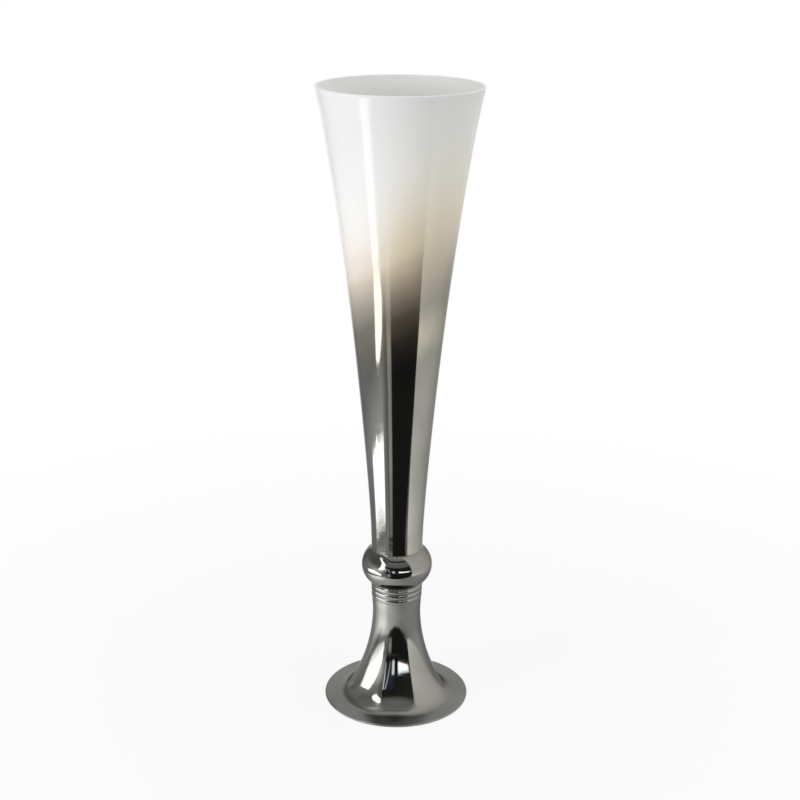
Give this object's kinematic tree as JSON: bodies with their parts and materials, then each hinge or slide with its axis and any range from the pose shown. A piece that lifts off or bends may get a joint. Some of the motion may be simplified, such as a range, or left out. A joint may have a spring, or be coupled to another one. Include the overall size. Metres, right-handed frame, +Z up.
{
  "type": "hourglass vase",
  "caption": "Tall hourglass vase for cut flowers: an open trumpet bowl, white fading to silver, on a silvered knop, ringed collar and flared foot.",
  "frame": {"origin": "centre of the circle that the foot rests on, at floor level", "axes": "+Z up along the vase's axis, towards the mouth; the vase is a body of revolution, so X and Y may point any way"},
  "size_m": [0.2012, 0.2012, 0.8],
  "materials": {
    "ombre_glass": "fire-polished gloss, opal white above fading through smoky amber to mirror silver below",
    "silvered_glass": "smoky mirror silvering with slight blown-glass waviness",
    "adhesive": "clear cured glass adhesive"
  },
  "bodies": {
    "root": {"trumpet_bowl": "ombre_glass", "knop": "silvered_glass", "ring_collar": "silvered_glass", "foot": "silvered_glass", "bowl_bond": "adhesive", "collar_bond": "adhesive", "stem_bond": "adhesive"}
  },
  "joints": []
}
